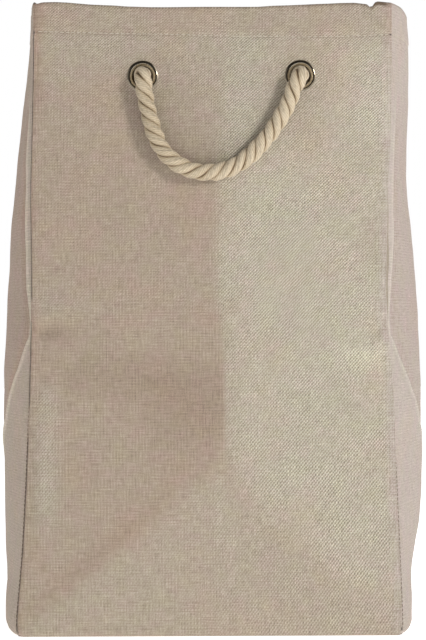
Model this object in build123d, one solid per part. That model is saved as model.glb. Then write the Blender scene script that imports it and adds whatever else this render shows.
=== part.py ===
from build123d import *
import math
import os

# Collapsible household laundry bag: two flat panels joined by two pleated
# gussets and a sewn-in base, with a twisted rope handle through a pair of
# eyelets on the front and on the back.
#
# Frame: origin at the middle of the footprint on the floor, +Z up, the front
# panel faces -Y, +X is to the right when looking at the front.

os.makedirs("parts", exist_ok=True)

# ---- driving dimensions (mm) ------------------------------------------------
HEIGHT = 600.0          # floor to rim
CLOTH_T = 2.0           # doubled, stiffened cloth of the walls and base
HALF_DEPTH = 150.0      # centre to the outer face of the front or back panel
CORNER_X = 170.0        # centre to the fold line of each vertical corner
CREASE_X = 200.0        # centre to the fold line of each gusset's middle crease
FOLD_GAP = 1.0          # cloth left out on each side of a fold line
BASE_HALF_X = 172.0     # half width of the base panel
WALL_FOOT_Z = 2.3       # lower edge of the walls, just over the base panel

EYELET_Z = 530.0        # height of the eyelet centres
EYELET_LEFT_X = -65.5   # front left eyelet centre
EYELET_RIGHT_X = 83.5   # front right eyelet centre
EYELET_HOLE_R = 10.25
EYELET_BARREL_R = 11.0
EYELET_FLANGE_R = 15.5
EYELET_FLANGE_H = 2.0
PANEL_HOLE_R = 11.1
WASHER_R = 14.0
WASHER_T = 1.2
BARREL_END = 1.6        # barrel length past the inner face of the cloth

ROPE_D = 16.0
ROPE_END_OUT = 2.1      # rope end face, out from the cloth's outer face
LOOP_OUT = 10.5         # loop centreline, out from the cloth's outer face
KNOT_R = 18.5
KNOT_DEPTH = 34.0
KNOT_ROUND = 15.0
KNOT_GAP = 0.1
TAIL_LENGTH = 31.0      # from the knot's centre to the cut end of the tail

BINDING_T = 1.2
BINDING_W = 10.0
BINDING_INSET = 4.0     # from the fold line to the near edge of the binding
BINDING_LOW_Z = 18.0
BINDING_TOP_Z = 568.0
BASE_BINDING_Z = 3.2
BASE_BINDING_H = 10.0

# Centreline of the front rope loop, in the plane of the loop: (x, z)
LOOP_ROUTE = [
    (-65.5, 530.0),
    (-58.3, 496.6),
    (-46.1, 459.0),
    (-14.8, 439.0),
    (22.1, 443.6),
    (48.1, 471.0),
    (66.9, 500.9),
    (83.5, 530.0),
]

INNER_Y = HALF_DEPTH - CLOTH_T


def box_between(low, high):
    """A box from its low corner to its high corner."""
    size = [h - l for l, h in zip(low, high)]
    centre = [(h + l) / 2 for l, h in zip(low, high)]
    return Pos(*centre) * Box(*size)


def save(shape, name):
    export_step(shape, os.path.join("parts", name + ".step"))
    print(name, "volume", round(shape.volume, 1))


def turned(shape):
    """The same piece on the back of the bag: half a turn about +Z."""
    return Rot(0, 0, 180) * shape


# ---- front and back panels --------------------------------------------------
# Local frame of an eyelet: +Z out of the cloth's outer face, +Y up the panel.
def at_eyelet(x):
    return Pos(x, -HALF_DEPTH, EYELET_Z) * Rot(90, 0, 0)


front_panel = box_between(
    (-CORNER_X + FOLD_GAP, -HALF_DEPTH, WALL_FOOT_Z),
    (CORNER_X - FOLD_GAP, -INNER_Y, HEIGHT),
)
for hole_x in (EYELET_LEFT_X, EYELET_RIGHT_X):
    front_panel -= at_eyelet(hole_x) * Cylinder(PANEL_HOLE_R, 4 * CLOTH_T)
save(front_panel, "front_panel")
save(turned(front_panel), "back_panel")

# ---- gussets ----------------------------------------------------------------
# Each half runs from a corner fold line, on the inner face, to the middle
# crease, on the outer face, so that the crease folds inwards between the
# panels.
fold_dx = CREASE_X - CORNER_X
half_span = math.hypot(fold_dx, INNER_Y)
line_angle = math.atan2(fold_dx, INNER_Y)
cloth_angle = line_angle - math.asin(CLOTH_T / half_span)
half_length = half_span * math.cos(line_angle - cloth_angle)
print("gusset half length", round(half_length, 2), "outward angle", round(math.degrees(cloth_angle), 2))


def gusset_half(side, end):
    """side -1 left or +1 right, end -1 front or +1 back."""
    along = Vector(side * math.sin(cloth_angle), -end * math.cos(cloth_angle), 0)
    outward = Vector(side * math.cos(cloth_angle), end * math.sin(cloth_angle), 0)
    corner = Vector(side * CORNER_X, end * INNER_Y, 0)
    a = corner + along * FOLD_GAP
    b = corner + along * (half_length - FOLD_GAP)
    points = [a, b, b + outward * CLOTH_T, a + outward * CLOTH_T]
    face = make_face(Polyline(*[(p.X, p.Y, WALL_FOOT_Z) for p in points], close=True))
    solid = extrude(face, amount=HEIGHT - WALL_FOOT_Z, dir=(0, 0, 1))
    return solid


save(gusset_half(-1, -1), "left_gusset_front_half")
save(gusset_half(-1, 1), "left_gusset_rear_half")
save(gusset_half(1, -1), "right_gusset_front_half")
save(gusset_half(1, 1), "right_gusset_rear_half")

# ---- base panel -------------------------------------------------------------
# Its sides follow the feet of the gussets, so the bag is closed all round.
base_crease_x = CREASE_X + 1.0
base_outline = Polyline(
    (-BASE_HALF_X, -HALF_DEPTH),
    (BASE_HALF_X, -HALF_DEPTH),
    (base_crease_x, 0),
    (BASE_HALF_X, HALF_DEPTH),
    (-BASE_HALF_X, HALF_DEPTH),
    (-base_crease_x, 0),
    close=True,
)
base_panel = extrude(make_face(base_outline), amount=CLOTH_T)
save(base_panel, "base_panel")

# ---- eyelets and their washers ----------------------------------------------
profile = make_face(
    Polyline(
        (EYELET_HOLE_R, 0, 0.6),
        (EYELET_HOLE_R, 0, -CLOTH_T - BARREL_END),
        (EYELET_BARREL_R, 0, -CLOTH_T - BARREL_END),
        (EYELET_BARREL_R, 0, 0),
        (EYELET_FLANGE_R, 0, 0),
    )
    + ThreePointArc(
        (EYELET_FLANGE_R, 0, 0),
        ((EYELET_HOLE_R + EYELET_FLANGE_R) / 2 + 0.3, 0, EYELET_FLANGE_H),
        (EYELET_HOLE_R, 0, 0.6),
    )
)
eyelet = revolve(profile, axis=Axis.Z, revolution_arc=360)
washer = Pos(0, 0, -CLOTH_T - WASHER_T / 2) * (
    Cylinder(WASHER_R, WASHER_T) - Cylinder(EYELET_BARREL_R + 0.05, 3 * WASHER_T)
)

# ---- rope ends: the rope inside each eyelet, its stopper knot and its tail ---
knot_z = -CLOTH_T - WASHER_T - KNOT_GAP - KNOT_DEPTH / 2
knot = Cylinder(KNOT_R, KNOT_DEPTH)
knot = fillet(knot.edges(), KNOT_ROUND)
knot = Pos(0, 0, knot_z) * knot
stub_length = ROPE_END_OUT - knot_z
stub = Pos(0, 0, knot_z + stub_length / 2) * Cylinder(ROPE_D / 2, stub_length)
tail = Pos(0, -TAIL_LENGTH / 2, knot_z) * (
    Rot(90, 0, 0) * Cylinder(ROPE_D / 2, TAIL_LENGTH)
)
rope_end = knot + stub + tail

for name, x in (("left", EYELET_LEFT_X), ("right", EYELET_RIGHT_X)):
    other = "right" if name == "left" else "left"
    place = at_eyelet(x)
    save(place * eyelet, f"front_{name}_eyelet")
    save(turned(place * eyelet), f"back_{other}_eyelet")
    save(place * washer, f"front_{name}_washer")
    save(turned(place * washer), f"back_{other}_washer")
    save(place * rope_end, f"front_{name}_rope_end")
    save(turned(place * rope_end), f"back_{other}_rope_end")

# ---- rope loops -------------------------------------------------------------
loop_y = -HALF_DEPTH - LOOP_OUT
route = [Vector(x, loop_y, z) for x, z in LOOP_ROUTE]
runs = [(b - a).length for a, b in zip(route, route[1:])]
radii = []
for i in range(1, len(route) - 1):
    turn = math.radians((route[i] - route[i - 1]).get_angle(route[i + 1] - route[i]))
    radii.append(0.45 * min(runs[i - 1], runs[i]) / math.tan(turn / 2))
print("loop runs", [round(r, 1) for r in runs])
print("loop radii", [round(r, 1) for r in radii], "rope diameter", ROPE_D)
path = FilletPolyline(*route, radius=radii)
start = Plane(origin=path @ 0, z_dir=path % 0)
tube = sweep(start * Circle(ROPE_D / 2), path=path)
expected = math.pi * ROPE_D**2 / 4 * path.length
print("loop length", round(path.length, 1), "tube volume", round(tube.volume), "section x length", round(expected))
loop = tube
for end in (route[0], route[-1]):
    loop += Pos(end.X, end.Y, end.Z) * Sphere(ROPE_D / 2)
save(loop, "front_rope_loop")
save(turned(loop), "back_rope_loop")

# ---- seam bindings, inside --------------------------------------------------
edge = CORNER_X - BINDING_INSET
for name, side in (("left", -1), ("right", 1)):
    xs = sorted((side * edge, side * (edge - BINDING_W)))
    binding = box_between(
        (xs[0], -INNER_Y, BINDING_LOW_Z), (xs[1], -INNER_Y + BINDING_T, BINDING_TOP_Z)
    )
    other = "right" if name == "left" else "left"
    save(binding, f"front_{name}_seam_binding")
    save(turned(binding), f"back_{other}_seam_binding")

base_binding = box_between(
    (-edge, -INNER_Y, BASE_BINDING_Z),
    (edge, -INNER_Y + BINDING_T, BASE_BINDING_Z + BASE_BINDING_H),
)
save(base_binding, "front_base_seam_binding")
save(turned(base_binding), "back_base_seam_binding")
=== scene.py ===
import math

import bpy
import numpy as np
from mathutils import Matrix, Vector


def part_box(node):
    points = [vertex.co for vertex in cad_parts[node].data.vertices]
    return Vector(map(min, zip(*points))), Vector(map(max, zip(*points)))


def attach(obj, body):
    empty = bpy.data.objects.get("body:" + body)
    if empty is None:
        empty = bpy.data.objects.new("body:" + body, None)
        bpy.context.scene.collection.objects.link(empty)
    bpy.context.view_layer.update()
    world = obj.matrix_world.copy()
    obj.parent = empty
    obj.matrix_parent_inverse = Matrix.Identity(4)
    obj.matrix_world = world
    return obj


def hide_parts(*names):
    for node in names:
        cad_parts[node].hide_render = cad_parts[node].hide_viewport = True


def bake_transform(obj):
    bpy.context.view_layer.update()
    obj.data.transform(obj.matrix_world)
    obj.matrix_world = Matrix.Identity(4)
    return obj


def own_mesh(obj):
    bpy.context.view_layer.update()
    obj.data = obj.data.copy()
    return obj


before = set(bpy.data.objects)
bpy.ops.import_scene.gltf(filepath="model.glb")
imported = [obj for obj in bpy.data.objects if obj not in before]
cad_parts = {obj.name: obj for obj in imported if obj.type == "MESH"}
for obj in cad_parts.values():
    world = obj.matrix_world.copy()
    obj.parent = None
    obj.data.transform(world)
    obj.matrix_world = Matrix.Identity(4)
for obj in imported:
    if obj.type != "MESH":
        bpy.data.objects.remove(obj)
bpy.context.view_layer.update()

# ------------------------------------------------------------------ settings
HALF_DEPTH = -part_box("front_panel")[0][1]          # outer face of the front
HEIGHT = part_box("front_panel")[1][2]
PIVOT_X = 0.170                                    # corner fold lines
PIVOT_Y = 0.148
CLOTH = 0.0016
EYELET_Z = 0.530
FRONT_EYELETS = (-0.0655, 0.0835)

rng = np.random.default_rng(7)


# ------------------------------------------------------------- small helpers
def smooth_table(zs, vs, sigma=0.014):
    """A soft curve through a table of heights and values."""
    grid = np.linspace(-0.06, 0.66, 721)
    raw = np.interp(grid, zs, vs)
    k = np.exp(-0.5 * (np.arange(-60, 61) * 0.001 / sigma) ** 2)
    k /= k.sum()
    soft = np.convolve(np.pad(raw, 60, mode="edge"), k, mode="valid")

    def curve(z):
        return np.interp(z, grid, soft)

    return curve


def noise2(seed, scale_u, scale_v, octaves=2):
    """A smooth, repeatable ripple field over (u, v) in metres, about -1..1."""
    r = np.random.default_rng(seed)
    waves = []
    for o in range(octaves):
        for _ in range(7):
            a = r.uniform(0, 2 * math.pi)
            f = 2 ** o
            waves.append(
                (
                    f * math.cos(a) / scale_u,
                    f * math.sin(a) / scale_v,
                    r.uniform(0, 2 * math.pi),
                    0.55 ** o,
                )
            )

    def field(u, v):
        total = np.zeros(np.broadcast(u, v).shape)
        for fu, fv, p, w in waves:
            total = total + w * np.sin(2 * math.pi * (fu * u + fv * v) + p)
        return total / 3.2

    return field


def bump(x, centre, width):
    return np.exp(-(((x - centre) / width) ** 2))


def smoothstep(x, a, b):
    t = np.clip((x - a) / (b - a), 0, 1)
    return t * t * (3 - 2 * t)


def link(obj):
    bpy.context.scene.collection.objects.link(obj)
    return obj


def add_mesh(name, verts, faces, material, attributes=None, smooth=True):
    mesh = bpy.data.meshes.new(name)
    mesh.from_pydata([tuple(map(float, v)) for v in verts], [], faces)
    if attributes:
        for key, values in attributes.items():
            values = np.asarray(values, np.float32)
            kind = "FLOAT_VECTOR" if values.ndim == 2 else "FLOAT"
            layer = mesh.attributes.new(key, kind, "POINT")
            layer.data.foreach_set("vector" if values.ndim == 2 else "value", values.ravel())
    mesh.materials.append(material)
    mesh.polygons.foreach_set("use_smooth", [smooth] * len(mesh.polygons))
    mesh.update()
    return link(bpy.data.objects.new(name, mesh))


# ---------------------------------------------------------------- materials
def new_material(name):
    m = bpy.data.materials.new(name)
    m.use_nodes = True
    nt = m.node_tree
    nt.nodes.clear()
    out = nt.nodes.new("ShaderNodeOutputMaterial")
    bsdf = nt.nodes.new("ShaderNodeBsdfPrincipled")
    nt.links.new(bsdf.outputs["BSDF"], out.inputs["Surface"])
    return m, nt, bsdf


class Graph:
    """Short forms for building a node tree."""

    def __init__(self, nt):
        self.nt = nt

    def put(self, value, socket):
        if hasattr(value, "links"):
            self.nt.links.new(value, socket)
        else:
            socket.default_value = value

    def math(self, op, a, b=None, c=None, clamp=False):
        n = self.nt.nodes.new("ShaderNodeMath")
        n.operation = op
        n.use_clamp = clamp
        for i, v in enumerate((a, b, c)):
            if v is not None:
                self.put(v, n.inputs[i])
        return n.outputs[0]

    def attribute(self, name, output="Vector"):
        n = self.nt.nodes.new("ShaderNodeAttribute")
        n.attribute_name = name
        return n.outputs[output]

    def split(self, vector):
        n = self.nt.nodes.new("ShaderNodeSeparateXYZ")
        self.put(vector, n.inputs[0])
        return n.outputs[0], n.outputs[1], n.outputs[2]

    def join(self, x, y, z=0.0):
        n = self.nt.nodes.new("ShaderNodeCombineXYZ")
        for i, v in enumerate((x, y, z)):
            self.put(v, n.inputs[i])
        return n.outputs[0]

    def noise(self, vector, scale, detail=2.0, rough=0.5):
        n = self.nt.nodes.new("ShaderNodeTexNoise")
        self.put(vector, n.inputs["Vector"])
        n.inputs["Scale"].default_value = scale
        n.inputs["Detail"].default_value = detail
        n.inputs["Roughness"].default_value = rough
        return n.outputs["Fac"]

    def scaled(self, vector, x, y, z=1.0):
        n = self.nt.nodes.new("ShaderNodeVectorMath")
        n.operation = "MULTIPLY"
        self.put(vector, n.inputs[0])
        n.inputs[1].default_value = (x, y, z)
        return n.outputs[0]

    def ramp(self, fac, stops):
        n = self.nt.nodes.new("ShaderNodeValToRGB")
        self.put(fac, n.inputs["Fac"])
        els = n.color_ramp.elements
        while len(els) > 1:
            els.remove(els[-1])
        els[0].position, els[0].color = stops[0][0], (*stops[0][1], 1)
        for pos, col in stops[1:]:
            e = els.new(pos)
            e.color = (*col, 1)
        return n.outputs["Color"]

    def mix(self, fac, a, b, mode="MIX"):
        n = self.nt.nodes.new("ShaderNodeMix")
        n.data_type = "RGBA"
        n.blend_type = mode
        self.put(fac, n.inputs["Factor"])
        for v, i in ((a, "A"), (b, "B")):
            s = [x for x in n.inputs if x.name == i and x.type == "RGBA"][0]
            if isinstance(v, tuple):
                s.default_value = (*v, 1)
            else:
                self.nt.links.new(v, s)
        return [o for o in n.outputs if o.type == "RGBA"][0]

    def bump(self, height, strength, distance, normal=None):
        n = self.nt.nodes.new("ShaderNodeBump")
        n.inputs["Strength"].default_value = strength
        n.inputs["Distance"].default_value = distance
        self.put(height, n.inputs["Height"])
        if normal is not None:
            self.nt.links.new(normal, n.inputs["Normal"])
        return n.outputs["Normal"]


def cloth_material():
    """Slubby linen-look weave, coloured yarns, with the twill lines that the
    cloth shows more strongly towards one side."""
    m, nt, bsdf = new_material("woven_cloth")
    g = Graph(nt)
    coord = g.attribute("cloth")              # (along the wall, up, 0) in metres
    u, v, kind = g.split(coord)
    # yarn wander, so that the weave isn't a perfect grid
    wob = g.math("MULTIPLY", g.math("SUBTRACT", g.noise(g.scaled(coord, 60, 60), 1.0, 1.0), 0.5), 0.9)
    # single yarns
    pitch = 2 * math.pi / 0.00070
    plain = g.math(
        "MULTIPLY",
        g.math("SINE", g.math("ADD", g.math("MULTIPLY", u, pitch), wob)),
        g.math("SINE", g.math("ADD", g.math("MULTIPLY", v, pitch), wob)),
    )
    # groups of yarns show as a crosshatch, 3 mm apart, and as twill wales that
    # climb to the right where the cloth faces the light
    turn = 2 * math.pi
    pu = g.math("MULTIPLY_ADD", u, turn * 330.0, g.math("MULTIPLY", wob, 1.3))
    pv = g.math("MULTIPLY", v, g.math("MULTIPLY_ADD", v, turn * 136.5, turn * 227.0))
    # the wales break into short dashes
    stray = g.math("MULTIPLY_ADD", g.noise(g.scaled(coord, 300, 300), 1.0, 1.0), 4.4, -2.2)
    dash = g.math("MULTIPLY_ADD", g.noise(g.scaled(coord, 430, 430), 1.3, 1.0), 3.0, -0.5)
    cross = g.math("MULTIPLY", g.math("SINE", g.math("SUBTRACT", g.math("ADD", pu, pv), stray)), 0.42)
    diag = g.math("MULTIPLY", g.math("ADD", g.math("SINE", g.math("ADD", g.math("SUBTRACT", pu, pv), stray)), cross), dash)
    patch = g.noise(g.scaled(coord, 30, 30), 1.0, 3.0)
    # the tone attribute carries painted light and shade
    painted_light = g.attribute("tone", "Fac")
    side = g.math("ADD", g.math("MULTIPLY_ADD", painted_light, 0.36, 0.40), g.math("MULTIPLY_ADD", v, 1.0, -0.34))
    # the lower right keeps its twill too
    low = g.math("MULTIPLY", g.math("MULTIPLY_ADD", v, -5.0, 1.1, clamp=True), g.math("MULTIPLY_ADD", u, 6.0, 0.3, clamp=True))
    side = g.math("MULTIPLY_ADD", low, 0.45, side, clamp=True)
    side = g.math("MULTIPLY", g.math("MULTIPLY_ADD", side, 0.95, 0.05), g.math("SUBTRACT", 1.0, g.math("ABSOLUTE", kind), clamp=True))
    twill = g.math("MULTIPLY", diag, g.math("MULTIPLY", side, g.math("MULTIPLY_ADD", patch, 1.7, 0.05)))
    hatch_a = g.math("MULTIPLY", g.math("SINE", pu), g.math("MULTIPLY_ADD", g.noise(g.scaled(coord, 60, 35), 1.0, 1.0), 2.4, -0.7))
    hatch_b = g.math("MULTIPLY", g.math("SINE", g.math("MULTIPLY_ADD", v, turn * 358.0, wob)), g.math("MULTIPLY_ADD", g.noise(g.scaled(coord, 35, 60), 1.7, 1.0), 2.4, -0.7))
    hatch = g.math("MULTIPLY", g.math("ADD", hatch_a, hatch_b), g.math("SUBTRACT", 1.0, g.math("MULTIPLY", side, 0.8)))
    # slubs: long thin thick-and-thin places in warp and weft
    slub_u = g.noise(g.scaled(coord, 1050, 85), 1.0, 2.0, 0.6)
    slub_v = g.noise(g.scaled(coord, 85, 1050), 1.0, 2.0, 0.6)
    slub_l = g.noise(g.scaled(coord, 700, 16), 1.0, 1.0, 0.5)
    slub_m = g.noise(g.scaled(coord, 16, 700), 1.0, 1.0, 0.5)
    slubs = g.math("ADD", g.math("SUBTRACT", slub_u, 0.5), g.math("SUBTRACT", slub_v, 0.5))
    slubs = g.math("ADD", slubs, g.math("MULTIPLY", g.math("ADD", g.math("SUBTRACT", slub_l, 0.5), g.math("SUBTRACT", slub_m, 0.5)), 0.22))
    grain = g.math("SUBTRACT", g.noise(g.scaled(coord, 1500, 1500), 1.0, 1.0), 0.5)
    tone = g.math("MULTIPLY_ADD", slubs, 0.62, 0.5)
    tone = g.math("MULTIPLY_ADD", plain, 0.12, tone)
    tone = g.math("MULTIPLY_ADD", twill, 0.35, tone)
    tone = g.math("MULTIPLY_ADD", hatch, 0.075, tone)
    tone = g.math("MULTIPLY_ADD", grain, 0.55, tone)
    base = g.ramp(
        tone,
        [
            (0.0, (0.190, 0.152, 0.112)),
            (0.28, (0.300, 0.252, 0.193)),
            (0.5, (0.405, 0.350, 0.276)),
            (0.75, (0.530, 0.472, 0.382)),
            (1.0, (0.68, 0.62, 0.52)),
        ],
    )
    # slow drift between a pinkish and a greenish beige
    drift = g.noise(g.scaled(coord, 14, 14), 1.0, 3.0, 0.6)
    tint = g.ramp(drift, [(0.3, (1.03, 0.985, 0.965)), (0.5, (1.0, 1.0, 1.0)), (0.7, (0.985, 1.01, 0.985))])
    base = g.mix(1.0, base, tint, "MULTIPLY")
    fleck = g.noise(g.scaled(coord, 48, 48, 1), 1.0, 2.0, 0.6)
    tint = g.ramp(fleck, [(0.32, (1.02, 0.975, 1.02)), (0.5, (1.0, 1.0, 1.0)), (0.68, (1.0, 1.015, 0.965))])
    base = g.mix(1.0, base, tint, "MULTIPLY")
    # painted light and shade: the tone attribute makes each facet of a fold lighter or darker as if lit from the right
    painted_light_grade = g.ramp(
        g.math("MULTIPLY_ADD", painted_light, 0.25, 0.5),
        [(0.0, (0.805, 0.715, 0.69)), (0.25, (0.940, 0.860, 0.842)), (0.5, (0.990, 0.965, 0.965)), (0.75, (1.095, 1.130, 1.135)), (1.0, (1.36, 1.44, 1.44))],
    )
    base = g.mix(1.0, base, painted_light_grade, "MULTIPLY")
    # the side pieces are from another roll, a little pinker and cooler
    lot = g.ramp(g.math("MULTIPLY_ADD", kind, 0.5, 0.5), [(0.0, (1.07, 1.0, 1.01)), (0.5, (1.0, 1.0, 1.0)), (1.0, (1.03, 0.995, 1.10))])
    base = g.mix(1.0, base, lot, "MULTIPLY")
    # painted shade along seams, the hem line, the rim, the foot and the edges of the bottom, mixed towards dark brown
    painted_shade = g.attribute("painted_shade", "Fac")
    base = g.mix(painted_shade, base, (0.115, 0.076, 0.048))
    nt.links.new(base, bsdf.inputs["Base Color"])
    bsdf.inputs["Roughness"].default_value = 0.88
    bsdf.inputs["Specular IOR Level"].default_value = 0.25
    bsdf.inputs["Sheen Weight"].default_value = 0.18
    bsdf.inputs["Sheen Roughness"].default_value = 0.5
    bsdf.inputs["Sheen Tint"].default_value = (0.95, 0.92, 0.86, 1)
    height = g.math("MULTIPLY_ADD", plain, 0.35, g.math("MULTIPLY", slubs, 1.3))
    height = g.math("MULTIPLY_ADD", g.math("ADD", twill, g.math("MULTIPLY", hatch, 0.3)), 0.6, height)
    height = g.math("MULTIPLY_ADD", grain, 0.5, height)
    nt.links.new(g.bump(height, 0.55, 0.00022), bsdf.inputs["Normal"])
    return m


def rope_material():
    """Natural cotton rope: fine yarns in each strand, soft and matte."""
    m, nt, bsdf = new_material("cotton_rope")
    g = Graph(nt)
    coord = g.attribute("strand")      # (turn round the strand 0..1, metres along, strand no.)
    a, s, k = g.split(coord)
    rise = g.attribute("rise", "Fac")  # 0 in the groove between strands, 1 on the crown
    # yarns twist inside the strand
    yarn_phase = g.math("MULTIPLY_ADD", a, 2 * math.pi * 11, g.math("MULTIPLY", s, 2 * math.pi / 0.0036))
    yarns = g.math("SINE", yarn_phase)
    n_coord = g.join(g.math("MULTIPLY", a, 14.0), g.math("MULTIPLY", s, 260.0), k)
    fuzz = g.noise(n_coord, 3.0, 3.0, 0.65)
    slow = g.noise(g.join(g.math("MULTIPLY", a, 2.0), g.math("MULTIPLY", s, 55.0), k), 1.5, 2.0)
    tone = g.math("MULTIPLY_ADD", yarns, 0.12, g.math("MULTIPLY_ADD", g.math("SUBTRACT", fuzz, 0.5), 0.75, 0.52))
    tone = g.math("MULTIPLY_ADD", g.math("SUBTRACT", slow, 0.5), 0.35, tone)
    # painted shade: the left leg darker, as if turned from the light
    left_leg_shade = g.math("MULTIPLY", g.math("SUBTRACT", 0.165, s), 11.0, clamp=True)
    left_leg_shade = g.math("MULTIPLY", left_leg_shade, g.math("MULTIPLY_ADD", s, 40.0, -0.7, clamp=True))
    tone = g.math("MULTIPLY_ADD", left_leg_shade, -0.13, tone)
    base = g.ramp(
        tone,
        [
            (0.0, (0.30, 0.225, 0.14)),
            (0.35, (0.49, 0.40, 0.275)),
            (0.65, (0.65, 0.55, 0.41)),
            (1.0, (0.83, 0.735, 0.59)),
        ],
    )
    # painted shade in the grooves between strands, lighter on the crowns
    groove = g.ramp(rise, [(0.0, (0.12, 0.08, 0.045)), (0.30, (0.42, 0.34, 0.25)), (0.60, (0.95, 0.92, 0.88)), (0.90, (1.07, 1.07, 1.07))])
    base = g.mix(1.0, base, groove, "MULTIPLY")
    nt.links.new(base, bsdf.inputs["Base Color"])
    bsdf.inputs["Roughness"].default_value = 0.9
    bsdf.inputs["Specular IOR Level"].default_value = 0.2
    bsdf.inputs["Sheen Weight"].default_value = 0.25
    bsdf.inputs["Sheen Roughness"].default_value = 0.45
    bsdf.inputs["Sheen Tint"].default_value = (1.0, 0.95, 0.86, 1)
    height = g.math("MULTIPLY_ADD", yarns, 0.55, g.math("MULTIPLY", fuzz, 0.9))
    nt.links.new(g.bump(height, 0.7, 0.00045), bsdf.inputs["Normal"])
    return m


def metal_material():
    """Polished nickel with fine handling marks and a painted reflection ring round each eyelet."""
    m, nt, bsdf = new_material("polished_nickel")
    g = Graph(nt)
    tc = nt.nodes.new("ShaderNodeTexCoord").outputs["Object"]
    smear = g.noise(g.scaled(tc, 900, 900, 900), 1.0, 3.0, 0.6)
    scratch = g.noise(g.scaled(tc, 400, 9000, 4000), 1.0, 1.0)
    base = g.ramp(smear, [(0.3, (0.80, 0.80, 0.80)), (0.7, (1.15, 1.15, 1.15))])
    # painted reflection: a dark band across the flat of the flange, as if it mirrored a dark room, with the inner rim
    # and the outer lip lighter
    x, y, z = g.split(tc)
    same = g.math("GREATER_THAN", g.math("MULTIPLY", x, y), 0.0)
    centre = g.math("MULTIPLY_ADD", same, -0.018, 0.0835)
    r = g.math(
        "SQRT",
        g.math("ADD", g.math("POWER", g.math("SUBTRACT", g.math("ABSOLUTE", x), centre), 2.0), g.math("POWER", g.math("SUBTRACT", z, 0.530), 2.0)),
    )
    ring = g.ramp(
        g.math("MULTIPLY_ADD", r, 125.0, -1.2),
        [
            (0.0, (0.86, 0.82, 0.72)),
            (0.24, (0.84, 0.80, 0.70)),
            (0.33, (0.20, 0.165, 0.12)),
            (0.60, (0.17, 0.14, 0.10)),
            (0.68, (0.62, 0.585, 0.52)),
            (1.0, (0.80, 0.77, 0.71)),
        ],
    )
    base = g.mix(1.0, base, ring, "MULTIPLY")
    nt.links.new(base, bsdf.inputs["Base Color"])
    bsdf.inputs["Metallic"].default_value = 1.0
    rough = g.math("MULTIPLY_ADD", smear, 0.08, 0.10)
    nt.links.new(rough, bsdf.inputs["Roughness"])
    nt.links.new(g.bump(scratch, 0.12, 0.00005), bsdf.inputs["Normal"])
    return m


def thread_material(name, dark, light):
    m, nt, bsdf = new_material(name)
    g = Graph(nt)
    tc = nt.nodes.new("ShaderNodeTexCoord").outputs["Object"]
    n = g.noise(g.scaled(tc, 2500, 2500, 2500), 1.0, 2.0)
    ply = g.math("SINE", g.math("MULTIPLY", g.split(tc)[2], 2 * math.pi / 0.0007))
    tone = g.math("MULTIPLY_ADD", ply, 0.15, n)
    nt.links.new(g.ramp(tone, [(0.25, dark), (0.8, light)]), bsdf.inputs["Base Color"])
    bsdf.inputs["Roughness"].default_value = 0.7
    bsdf.inputs["Sheen Weight"].default_value = 0.2
    nt.links.new(g.bump(tone, 0.4, 0.0001), bsdf.inputs["Normal"])
    return m


def tape_material():
    """Herringbone cotton tape over the seam allowances."""
    m, nt, bsdf = new_material("binding_tape")
    g = Graph(nt)
    coord = g.attribute("cloth")
    u, v, _ = g.split(coord)
    zig = g.math("PINGPONG", u, 0.0025)
    rib = g.math("SINE", g.math("MULTIPLY", g.math("ADD", v, zig), 2 * math.pi / 0.0009))
    n = g.noise(g.scaled(coord, 800, 800), 1.0, 2.0)
    tone = g.math("MULTIPLY_ADD", rib, 0.12, n)
    nt.links.new(g.ramp(tone, [(0.3, (0.30, 0.25, 0.19)), (0.75, (0.47, 0.41, 0.33))]), bsdf.inputs["Base Color"])
    bsdf.inputs["Roughness"].default_value = 0.85
    bsdf.inputs["Sheen Weight"].default_value = 0.15
    nt.links.new(g.bump(tone, 0.5, 0.0002), bsdf.inputs["Normal"])
    return m


CLOTH_MAT = cloth_material()
ROPE_MAT = rope_material()
METAL_MAT = metal_material()
THREAD_MAT = thread_material("hem_thread", (0.42, 0.36, 0.28), (0.66, 0.59, 0.49))
DARK_THREAD_MAT = thread_material("seam_thread", (0.080, 0.052, 0.032), (0.19, 0.13, 0.085))
TAPE_MAT = tape_material()

# -------------------------------------------------------------------- camera
CAM_DISTANCE = 2.2
cam_data = bpy.data.cameras.new("camera")
cam_data.sensor_width = 36.0
cam_data.lens = 36.0 * CAM_DISTANCE / 0.6048
cam_data.clip_start, cam_data.clip_end = 0.1, 30.0
camera = link(bpy.data.objects.new("camera", cam_data))
camera.location = (0.0, -HALF_DEPTH - CAM_DISTANCE, 0.2996)
camera.rotation_euler = (math.radians(90), math.radians(0.25), 0)
bpy.context.scene.camera = camera

# ------------------------------------------------------------ shape of the bag
Z_KEYS = [0.0, 0.015, 0.03, 0.08, 0.15, 0.22, 0.28, 0.32, 0.36, 0.42, 0.48, 0.54, 0.60]
seam_left = smooth_table(
    Z_KEYS, [-0.1866, -0.1876, -0.1860, -0.1814, -0.1775, -0.1745, -0.1727, -0.1718, -0.1718, -0.1724, -0.1706, -0.1690, -0.1687],
    0.008,
)
seam_right = smooth_table(
    Z_KEYS, [0.1782, 0.1782, 0.1777, 0.1758, 0.1729, 0.1710, 0.1668, 0.1628, 0.1640, 0.1657, 0.1692, 0.1701, 0.1701]
)
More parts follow.
